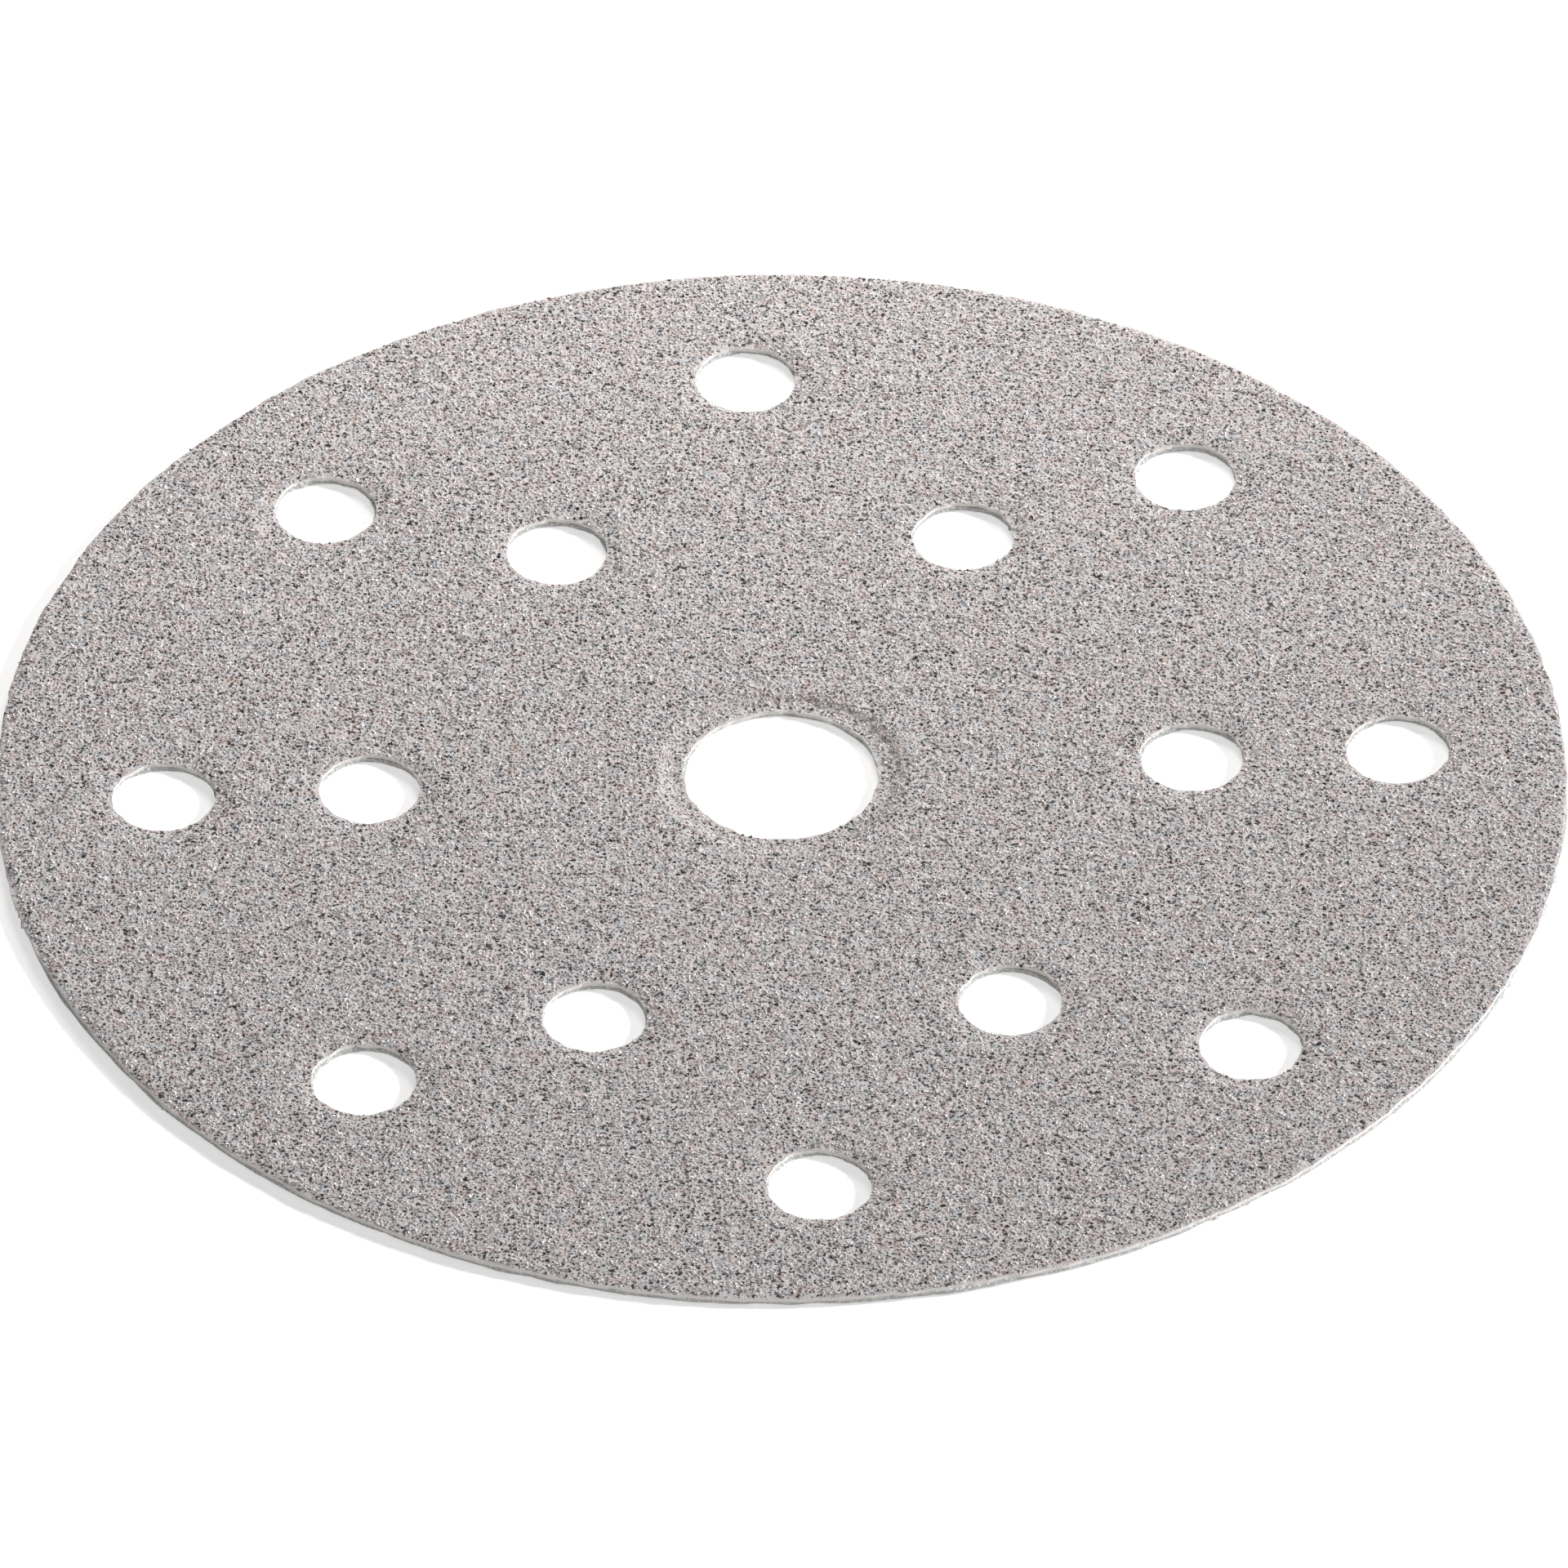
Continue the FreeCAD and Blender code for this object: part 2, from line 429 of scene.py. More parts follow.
@dataclass
class Templates:
    """Small closed shapes that are copied many times."""

    corners: list[ndarray] = field(default_factory=list)
    faces: list[ndarray] = field(default_factory=list)

    def add(self, bm: BMesh) -> None:
        """Adds a shape.

        Args:
            bm: Its mesh, which is freed.
        """
        bmesh.ops.triangulate(bm, faces=bm.faces)
        bm.verts.index_update()
        self.corners.append(np.array([vertex.co[:] for vertex in bm.verts]))
        self.faces.append(np.array([[vertex.index for vertex in face.verts] for face in bm.faces]))
        bm.free()

    def heights(self, kinds: ndarray, turns: ndarray) -> tuple[ndarray, ndarray]:
        """Measures turned copies before they are moved to their places.

        Args:
            kinds: Number of the shape of each copy.
            turns: A 3 by 3 matrix for each copy.

        Returns:
            Height of the lowest and of the highest point of each copy.
        """
        lowest, highest = np.zeros(len(kinds)), np.zeros(len(kinds))
        for kind, corners in enumerate(self.corners):
            chosen = np.flatnonzero(kinds == kind)
            levels = turns[chosen, 2] @ corners.T
            lowest[chosen], highest[chosen] = levels.min(1), levels.max(1)
        return lowest, highest

    def join(self, copies: Copies) -> tuple[ndarray, ndarray, ndarray]:
        """Makes copies of the shapes.

        Args:
            copies: Shape, turn and place of each copy.

        Returns:
            All the corners, all the triangles, and the number of the copy that each corner belongs to.
        """
        points, triangles, owners, used = [], [], [], 0
        for kind, (corners, faces) in enumerate(zip(self.corners, self.faces)):
            chosen = np.flatnonzero(copies.kinds == kind)
            moved = np.einsum("nij,vj->nvi", copies.turns[chosen], corners) + copies.places[chosen][:, None]
            first = used + np.arange(len(chosen)) * len(corners)
            points.append(moved.reshape(-1, 3))
            triangles.append((faces[None] + first[:, None, None]).reshape(-1, 3))
            owners.append(np.repeat(chosen, len(corners)))
            used += len(chosen) * len(corners)
        return np.concatenate(points), np.concatenate(triangles), np.concatenate(owners)


def copied_pieces(
    name: str, templates: Templates, copies: Copies, split: ndarray,
    smooth: bool, slot: Slot, material: Material, **marks: ndarray,
) -> list[Object]:
    """Joins copied shapes in a few pieces.

    Args:
        name: Name of the pieces, before their numbers.
        templates: The shapes.
        copies: The copies.
        split: Number of the piece that each copy belongs to, from 0.
        smooth: Whether the faces are shaded smoothly.
        slot: The record's slot that the material belongs to. It is not used.
        material: The material.
        **marks: Numbers of the copies that their corners carry, each under its own name.

    Returns:
        The pieces.
    """
    made = []
    for number in np.unique(split):
        own = np.flatnonzero(split == number)
        points, triangles, owners = templates.join(copies.part(own))
        count = len(triangles)
        mesh = bpy.data.meshes.new(f"{name}_{number + 1}")
        mesh.vertices.add(len(points))
        mesh.vertices.foreach_set("co", (points * MM).astype(np.float32).ravel())
        mesh.loops.add(count * 3)
        mesh.loops.foreach_set("vertex_index", triangles.astype(np.int32).ravel())
        mesh.polygons.add(count)
        mesh.polygons.foreach_set("loop_start", np.arange(0, count * 3, 3, dtype=np.int32))
        mesh.polygons.foreach_set("use_smooth", np.full(count, smooth))
        for mark, values in marks.items():
            layer = mesh.attributes.new(mark, "FLOAT", "POINT")
            layer.data.foreach_set("value", values[own][owners].astype(np.float32))
        mesh.update(calc_edges=True)
        made.append(dress_piece(mesh, [material]))
    return made


def matrices(*rows: Sequence[ndarray]) -> ndarray:
    """One matrix for each shape, from rows of arrays that hold a number for each shape."""
    return np.stack([np.stack(row, -1) for row in rows], 1)


def turn_matrices(spin: ndarray, lean: ndarray, lean_way: ndarray, stretch: ndarray) -> ndarray:
    """Matrices that stretch a shape, spin it about Z, and then lean it over.

    Args:
        spin: Angles about Z.
        lean: Angles from upright.
        lean_way: Directions in plan that the shapes lean in.
        stretch: Three factors for each shape.

    Returns:
        One matrix for each shape.
    """
    zero = np.zeros_like(lean)
    along, across = np.cos(lean_way), -np.sin(lean_way)
    cross = matrices([zero, zero, along], [zero, zero, -across], [-along, across, zero])
    sine, cosine = np.sin(lean)[:, None, None], np.cos(lean)[:, None, None]
    leaning = np.eye(3) + sine * cross + (1 - cosine) * cross @ cross
    ahead, aside = np.cos(spin), np.sin(spin)
    spinning = matrices([ahead, -aside, zero], [aside, ahead, zero], [zero, zero, zero + 1])
    return leaning @ spinning * stretch[:, None, :]


# Shader maths


class Value:
    """A socket of a node tree that takes part in sums."""

    def __init__(self, tree: "Tree", socket: NodeSocket) -> None:
        """Wraps one output socket."""
        self.tree = tree
        self.socket = socket

    def __add__(self, other: "Value | float") -> "Value":
        """Sum."""
        return self.tree.maths("ADD", self, other)

    def __sub__(self, other: "Value | float") -> "Value":
        """Difference."""
        return self.tree.maths("SUBTRACT", self, other)

    def __mul__(self, other: "Value | float") -> "Value":
        """Product."""
        return self.tree.maths("MULTIPLY", self, other)

    def __rsub__(self, other: float) -> "Value":
        """Difference from a number."""
        return self.tree.maths("SUBTRACT", other, self)

    __radd__ = __add__
    __rmul__ = __mul__

    def ramp(self, low: float, high: float, start: float = 0.0, end: float = 1.0) -> "Value":
        """Takes the range from low to high to that from start to end, and holds it at both ends."""
        sockets = {"Value": self, "From Min": low, "From Max": high, "To Min": start, "To Max": end}
        return self.tree.node("ShaderNodeMapRange", {"interpolation_type": "SMOOTHSTEP"}, sockets)


Socket = Value | float | Sequence[float]
Settings = dict[str, object]
Sockets = dict[str | int, Socket]


@dataclass(frozen=True)
class Pattern:
    """Noise in space: its wavelength in millimetres, its finer waves, and the range of it that counts."""

    period: float
    detail: float = 2.0
    rough: float = 0.5
    shift: float = 0.0
    low: float = 0.0
    high: float = 1.0


class Tree:
    """The node tree of a material or of the world, and the ways to add to it."""

    def __init__(self, owner: Material | World) -> None:
        """Empties the owner's tree."""
        owner.use_nodes = True
        self.owner = owner
        self.nodes = owner.node_tree.nodes
        self.links = owner.node_tree.links
        self.nodes.clear()

    @classmethod
    def material(cls, name: str) -> "Tree":
        """The tree of a new material."""
        return cls(bpy.data.materials.new(name))

    def put(self, kind: str, settings: Settings, sockets: Sockets) -> Node:
        """Adds a node.

        Args:
            kind: The node's type.
            settings: Its settings, which are set first.
            sockets: Values or links of its input sockets.

        Returns:
            The node.
        """
        made = self.nodes.new(kind)
        for name, value in settings.items():
            setattr(made, name, value)
        for name, value in sockets.items():
            if isinstance(value, Value):
                self.links.new(value.socket, made.inputs[name])
            else:
                made.inputs[name].default_value = value
        return made

    def node(self, kind: str, settings: Settings, sockets: Sockets, output: str | int = 0) -> Value:
        """Adds a node as put does, and returns one of its outputs."""
        return Value(self, self.put(kind, settings, sockets).outputs[output])

    def maths(self, operation: str, first: Socket, second: Socket) -> Value:
        """One Math node."""
        return self.node("ShaderNodeMath", {"operation": operation}, {0: first, 1: second})

    def place(self, shift: float) -> Value:
        """Object coordinates in metres, shifted so that patterns differ."""
        here = self.node("ShaderNodeTexCoord", {}, {}, "Object")
        return self.node("ShaderNodeMapping", {}, {"Vector": here, "Location": (shift, shift, shift)})

    def noise(self, pattern: Pattern) -> Value:
        """Noise of a pattern as it comes, about 0.5 on average."""
        sockets = {
            "Vector": self.place(pattern.shift),
            "Scale": 1 / (pattern.period * MM),
            "Detail": pattern.detail,
            "Roughness": pattern.rough,
        }
        return self.node("ShaderNodeTexNoise", {}, sockets, "Fac")

    def mask(self, pattern: Pattern) -> Value:
        """Noise with its range taken to 0 to 1."""
        return self.noise(pattern).ramp(pattern.low, pattern.high)

    def cells(self, period: float) -> Value:
        """Distance from the middle of cells that lie about period millimetres apart."""
        sockets = {"Vector": self.place(0.0), "Scale": 1 / (period * MM)}
        return self.node("ShaderNodeTexVoronoi", {"feature": "F1"}, sockets, "Distance")

    def mark(self, name: str) -> Value:
        """A number that the mesh carries."""
        return self.node("ShaderNodeAttribute", {"attribute_name": name}, {}, "Fac")

    @staticmethod
    def colour(value: Value | Colour) -> Socket:
        """A colour with the alpha that sockets expect."""
        return value if isinstance(value, Value) else (*value, 1.0)

    def mix(self, share: Value, first: Value | Colour, second: Value | Colour) -> Value:
        """Mixes two colours. The share is how much of the second one shows."""
        sockets = {MIX_SHARE: share, MIX_FIRST: self.colour(first), MIX_SECOND: self.colour(second)}
        return self.node("ShaderNodeMix", {"data_type": "RGBA"}, sockets, MIX_RESULT)

    def bump(self, height: Value, rise: float) -> Value:
        """A normal from a height between 0 and 1 that stands for rise millimetres."""
        sockets = {"Height": height, "Distance": rise * MM, "Strength": 1.0}
        return self.node("ShaderNodeBump", {}, sockets, "Normal")

    def surface(self, **sockets: Socket) -> Material:
        """Ends the tree in one shader.

        Args:
            **sockets: Values of the shader's sockets, with underlines for spaces.

        Returns:
            The finished material.
        """
        named = {name.replace("_", " "): value for name, value in sockets.items()}
        shader = self.node("ShaderNodeBsdfPrincipled", {}, named, "BSDF")
        self.put("ShaderNodeOutputMaterial", {}, {"Surface": shader})
        return self.owner


# Finishes

# Nylon yarn in full light, and painted light: the coat and the grains turn lighter and warmer where the die
# bent the sheet round the centre hole.
YARN: Colour = (0.92, 0.92, 0.905)
DISH_LIGHT: Colour = (0.66, 0.585, 0.555)
DISH_LIGHT_SHARE = 0.3


@dataclass(frozen=True)
class CoatFinish:
    """The pale resin coat between the grains, tinted in patches, with dark specks: partly dark resin where the
    coat is thin, partly painted shade in the pits between the grains.
    """

    pale: Colour = (0.64, 0.60, 0.59)
    warm: Colour = (0.582, 0.475, 0.446)
    cool: Colour = (0.498, 0.51, 0.536)
    dark: Colour = (0.12, 0.098, 0.090)
    tint: Pattern = Pattern(1.6, rough=0.6, shift=0.3, low=0.35, high=0.65)
    patches: Pattern = Pattern(0.9, shift=0.7, low=0.35, high=0.60)
    specks: Pattern = Pattern(0.26, detail=1.0, shift=0.2, low=0.58, high=0.72)
    ripple: Pattern = Pattern(0.25, rough=0.6, shift=0.5)
    swell: Pattern = Pattern(1.3, detail=1.0, shift=0.9)
    swell_weight: float = 2.0
    roughness: float = 0.62
    specular: float = 0.25
    rise: float = 0.10

    def build(self) -> Material:
        """Makes the coat's material.

        Returns:
            The material, which reads the sheet's press mark.
        """
        tree = Tree.material("resin_coat")
        ground = tree.mix(tree.mask(self.tint), self.warm, self.cool)
        ground = tree.mix(tree.mask(self.patches), ground, self.pale)
        # Dark specks: partly dark resin where the coat is thin, partly painted shade in the pits between the
        # grains.
        ground = tree.mix(tree.mask(self.specks), ground, self.dark)
        # Painted light: the coat turns lighter and warmer halfway up the centre dish's side.
        colour = tree.mix(tree.mark("press") * DISH_LIGHT_SHARE, ground, DISH_LIGHT)
        height = tree.noise(self.ripple) + tree.noise(self.swell) * self.swell_weight
        return tree.surface(
            Base_Color=colour,
            Roughness=self.roughness,
            Specular_IOR_Level=self.specular,
            Normal=tree.bump(height, self.rise),
        )


@dataclass(frozen=True)
class GrainFinish:
    """Mineral grains: most of them under the coat, some bare and dark, all with chips and glints."""

    coated: Colour = (0.95, 0.895, 0.882)
    warm: Colour = (0.503, 0.403, 0.377)
    cool: Colour = (0.418, 0.428, 0.452)
    bare: Colour = (0.018, 0.014, 0.013)
    tint: Pattern = Pattern(1.6, rough=0.6, shift=0.3, low=0.38, high=0.62)
    tint_share: float = 0.70
    chips: Pattern = Pattern(0.16, detail=1.0, shift=0.8, low=0.54, high=0.64)
    chip_share: float = 0.7
    facets: Pattern = Pattern(0.08, rough=0.6)
    bare_end: float = 0.45
    coat_start: float = 0.35
    coat_end: float = 1.15
    specular: float = 0.23
    glint: float = 0.30
    matt: float = 0.55
    rise: float = 0.03

    def build(self) -> Material:
        """Makes the grains' material.

        Returns:
            The material, which reads the tone, tint and press that each grain carries.
        """
        tree = Tree.material("mineral_grain")
        tone = tree.mark("tone")
        tint = tree.mask(self.tint) * self.tint_share + tree.mark("tint") * (1 - self.tint_share)
        mineral = tree.mix(tint, self.warm, self.cool)
        mineral = tree.mix(tone.ramp(0.0, self.bare_end), self.bare, mineral)
        colour = tree.mix(tone.ramp(self.coat_start, self.coat_end), mineral, self.coated)
        colour = tree.mix(tree.mask(self.chips) * self.chip_share, colour, self.bare)
        # Painted light: the grains turn lighter and warmer halfway up the centre dish's side.
        colour = tree.mix(tree.mark("press") * DISH_LIGHT_SHARE, colour, DISH_LIGHT)
        return tree.surface(
            Base_Color=colour,
            Roughness=tone.ramp(0.0, 1.0, self.glint, self.matt),
            Specular_IOR_Level=self.specular,
            Normal=tree.bump(tree.noise(self.facets), self.rise),
        )


@dataclass(frozen=True)
class PaperEdgeFinish:
    """The cut edge of the paper, with its fibres."""

    light: Colour = (0.93, 0.91, 0.88)
    shade: Colour = (0.83, 0.79, 0.75)
    fibres: Pattern = Pattern(0.12, detail=3.0, rough=0.6, shift=0.2, low=0.35, high=0.70)
    roughness: float = 0.85
    rise: float = 0.06

    def build(self) -> Material:
        """Makes the cut edge's material.

        Returns:
            The material.
        """
        tree = Tree.material("paper_edge")
        colour = tree.mix(tree.mask(self.fibres), self.shade, self.light)
        fibres = tree.bump(tree.noise(self.fibres), self.rise)
        return tree.surface(Base_Color=colour, Roughness=self.roughness, Normal=fibres)


@dataclass(frozen=True)
class LoopFinish:
    """White nylon loops, with fine strands and soft patches."""

    light: Colour = YARN
    shade: Colour = (0.76, 0.76, 0.75)
    strands: Pattern = Pattern(0.06, rough=0.7, shift=0.4, low=0.30, high=0.65)
    patches: Pattern = Pattern(3.0, shift=0.6, low=0.30, high=0.70)
    patch_share: float = 0.3
    roughness: float = 0.7
    rise: float = 0.03

    def build(self) -> Material:
        """Makes the loops' material.

        Returns:
            The material.
        """
        tree = Tree.material("loop_yarn")
        colour = tree.mix(tree.mask(self.strands), self.shade, self.light)
        colour = tree.mix(tree.mask(self.patches) * self.patch_share, colour, self.shade)
        strands = tree.bump(tree.noise(self.strands), self.rise)
        return tree.surface(Base_Color=colour, Roughness=self.roughness, Normal=strands)


@dataclass(frozen=True)
class KnitFinish:
    """The knitted ground of the same yarn: fine stitches, with painted shade in the hollows between them and
    between the strands.
    """

    light: Colour = YARN
    hollow_shade: Colour = (0.60, 0.60, 0.59)
    stitch: float = 0.42
    stitch_top: float = 0.10
    stitch_foot: float = 0.75
    strands: Pattern = Pattern(0.08, rough=0.7, shift=0.4, low=0.25, high=0.60)
    strand_share: float = 0.3
    roughness: float = 0.8
    rise: float = 0.12

    def build(self) -> Material:
        """Makes the ground's material.

        Returns:
            The material.
        """
        tree = Tree.material("knit_yarn")
        stitches = tree.cells(self.stitch).ramp(self.stitch_top, self.stitch_foot, 1.0, 0.0)
        strands = tree.mask(self.strands)
        # Painted shade: the hollows between the stitches and the gaps between the strands are darker.
        colour = tree.mix(stitches, self.hollow_shade, self.light)
        colour = tree.mix((1 - strands) * self.strand_share, colour, self.hollow_shade)
        height = stitches + strands * self.strand_share
        normal = tree.bump(height, self.rise)
        return tree.surface(Base_Color=colour, Roughness=self.roughness, Normal=normal)


# The abrasive sheet


@dataclass(frozen=True)
class GrainForm:
    """A kind of grain: its sides, its top's radius in ratio to its base, its variants and its share."""

    sides: int
    top: float
    variants: int
    share: float


class GrainKind(Enum):
    """Shapes that crushed mineral breaks into."""

    SPIKE = GrainForm(sides=3, top=0.0, variants=18, share=0.75)
    PYRAMID = GrainForm(sides=4, top=0.0, variants=4, share=0.15)
    BLOCK = GrainForm(sides=3, top=0.5, variants=2, share=0.10)


@dataclass
class GritSheet:
    """Heavy paper with its resin coat and its grain.

    One of every three neighbouring grains is bare with the chance bare_third, and the others with bare_rest.
    The swells have swell_draw times as many waves along X as along Y. They tip the grains by swell_lean, and
    swell_coat_and_shading makes the grains on them lighter and those between them darker: partly a thicker coat
    on the swells, partly painted light on the swells and painted shade between them.
    """

    shape: DiscShape
    edge_band: Band = Band((0.0, 0.25, 0.55, 0.9), 720)
    centre_band: Band = Band((0.0, 0.8, 1.2, 1.6, 2.0, 2.4, 2.8, 3.2), 150)
    dust_band: Band = Band((0.0, 0.55, 1.1, 1.6, 1.95, 2.3), 72)
    paper_thick: float = 0.365
    rag: float = 0.10
    grain_stand: float = 0.18
    lowest_stand: float = 0.07
    buried: float = 0.05
    pitch: float = 0.396
    jitter: float = 0.24
    grain_radius: float = 0.21
    radius_spread: float = 0.17
    edge_room: float = 0.17
    most_lean: float = 0.35
    swell_waves: int = 24
    swell_shortest: float = 0.9
    swell_longest: float = 2.2
    swell_height: float = 0.025
    swell_lean: float = 4.5
    swell_draw: float = 0.5
    # Partly thicker coat, partly painted light and shade: grains on the swells lighter, those between them
    # darker.
    swell_coat_and_shading: float = 0.45
    bare_third: float = 0.69
    bare_rest: float = 0.10
    bare_tone: float = 0.35
    tint_middle: float = 0.5
    tint_spread: float = 0.35
    width_range: tuple[float, float] = (0.8, 1.2)
    foot_sway: float = 0.3
    tip_sway: float = 0.45
    rise_sway: float = 0.15
    tip_merge: float = 0.01
    pieces: int = 4
    seed: int = 7

    def paper(self) -> Object:
        """Makes the coated paper.

        Returns:
            The piece, which stands for the sheet's solid.
        """
        web = Web(
            self.shape, self.shape.top - self.grain_stand, self.paper_thick,
            self.edge_band, self.centre_band, self.dust_band, self.rag, self.seed,
        )
        materials = [CoatFinish().build(), PaperEdgeFinish().build()]
        return web.piece("coated_paper", SHEET_NODE, Slot.GRIT, materials)

    def templates(self, rng: Generator) -> Templates:
        """Makes the angular shapes, about one unit high on a base of unit radius.

        Args:
            rng: Source of the differences between the variants.

        Returns:
            The shapes, in the order of GrainKind.
        """
        made = Templates()
        for form in (kind.value for kind in GrainKind):
            for _ in range(form.variants):
                bm = bmesh.new()
                bmesh.ops.create_cone(
                    bm, cap_ends=True, segments=form.sides, radius1=1.0, radius2=form.top, depth=1.0,
                )
                bmesh.ops.remove_doubles(bm, verts=bm.verts, dist=self.tip_merge)
                for vertex in bm.verts:
                    sway = self.foot_sway if vertex.co.z < 0 else self.tip_sway
                    rise = self.rise_sway
                    vertex.co += Vector((*rng.uniform(-sway, sway, 2), rng.uniform(-rise, rise)))
                bmesh.ops.recalc_face_normals(bm, faces=bm.faces)
                made.add(bm)
        return made

    def scatter(self, rng: Generator) -> tuple[ndarray, ndarray, ndarray]:
        """Spreads the grains in a loose triangular lattice over the disc.

        Args:
            rng: Source of the jitter and of the bare grains.

        Returns:
            Their x, their y, and whether each one is bare. Bare grains seldom stand side by side.
        """
        reach = self.shape.radius
        columns = np.arange(-reach, reach, self.pitch)
        rows = np.arange(-reach, reach, self.pitch * math.sqrt(3) / 2)
        x, y = np.meshgrid(columns, rows)
        row, column = np.indices(x.shape)
        third = (column + (row + 1) // 2 + row) % 3 == 0
        x = x + (row % 2) * self.pitch / 2
        bare = rng.uniform(0, 1, x.shape) < np.where(third, self.bare_third, self.bare_rest)
        x = x + rng.normal(0, self.jitter * self.pitch, x.shape)
        y = y + rng.normal(0, self.jitter * self.pitch, y.shape)
        kept = self.shape.room(x, y) > self.edge_room
        return x[kept], y[kept], bare[kept]

    def swells(self, x: ndarray, y: ndarray, rng: Generator) -> tuple[ndarray, ndarray]:
        """Works out the low swells that the grain lies in, where the coat ran together along its web.

        Args:
            x: X of the grains.
            y: Y of the grains.
            rng: Source of the waves that make up the swells.

        Returns:
            Their height at each grain, zero on average, and their slopes along X and Y.
        """
        turn, phase = rng.uniform(0, math.tau, (2, self.swell_waves))
        steps = math.tau / rng.uniform(self.swell_shortest, self.swell_longest, self.swell_waves)
        along, across = steps * np.cos(turn) * self.swell_draw, steps * np.sin(turn)
        waves = np.outer(x, along) + np.outer(y, across) + phase
        scale = self.swell_height * math.sqrt(2 / self.swell_waves)
        slopes = np.stack([np.cos(waves) @ along, np.cos(waves) @ across])
        return np.sin(waves).sum(1) * scale, slopes * scale

    def stand(
        self, templates: Templates, x: ndarray, y: ndarray, swell: ndarray, slopes: ndarray, rng: Generator,
    ) -> Copies:
        """Stands grains of every shape on the coat, none of them above the disc's top.

        Args:
            templates: The shapes.
            x: X of the grains.
            y: Y of the grains.
            swell: Height of the swells at each grain.
            slopes: Their slopes along X and Y.
            rng: Source of the grains' sizes and turns.

        Returns:
            The grains.
        """
        count = len(x)
        forms = [kind.value for kind in GrainKind]
        shares = np.concatenate([np.full(form.variants, form.share / form.variants) for form in forms])
        kinds = rng.choice(len(shares), count, p=shares / shares.sum())
        height = rng.uniform(self.lowest_stand, self.grain_stand, count)
        radius = self.grain_radius * rng.lognormal(0, self.radius_spread, count)
        widths = radius * rng.uniform(*self.width_range, (2, count))
        spin, lean_way = rng.uniform(0, math.tau, (2, count))
        lean = rng.uniform(0, self.most_lean, count)
        lean_x, lean_y = np.stack([np.cos(lean_way), np.sin(lean_way)]) * lean - slopes * self.swell_lean
        stretch = np.stack([*widths, height + self.buried], -1)
        turns = turn_matrices(spin, np.hypot(lean_x, lean_y), np.arctan2(lean_y, lean_x), stretch)
        tips = templates.heights(kinds, turns)[1]
        coat = self.shape.top - self.grain_stand - self.shape.drop(x, y)
        reached = np.minimum(height + swell, self.grain_stand)
        return Copies(kinds, turns, np.stack([x, y, coat + reached - tips], -1))

    def grains(self) -> list[Object]:
        """Makes the grains, in sectors of the disc.

        Returns:
            The pieces.
        """
        rng = np.random.default_rng(self.seed)
        templates = self.templates(rng)
        x, y, bare = self.scatter(rng)
        swell, slopes = self.swells(x, y, rng)
        copies = self.stand(templates, x, y, swell, slopes, rng)
        dark, light = rng.uniform(0, self.bare_tone, len(x)), rng.uniform(self.bare_tone, 1, len(x))
        tone = np.where(bare, dark, light)
        # Partly thicker coat, partly painted light and shade: grains on the swells lighter, those between them
        # darker.
        tone = np.clip(tone + swell / self.swell_height * self.swell_coat_and_shading, 0, 1)
        tint = np.clip(rng.normal(self.tint_middle, self.tint_spread, len(x)), 0, 1)
        sector = ((np.arctan2(y, x) + math.pi) / math.tau * self.pieces).astype(int) % self.pieces
        marks = {"tone": tone, "tint": tint, "press": self.shape.press(x, y)}
        finish = GrainFinish().build()
        return copied_pieces("grit", templates, copies, sector, False, Slot.GRIT, finish, **marks)

    def build(self) -> list[Object]:
        """All of the sheet's pieces."""
        return [self.paper(), *self.grains()]


# The loop fabric


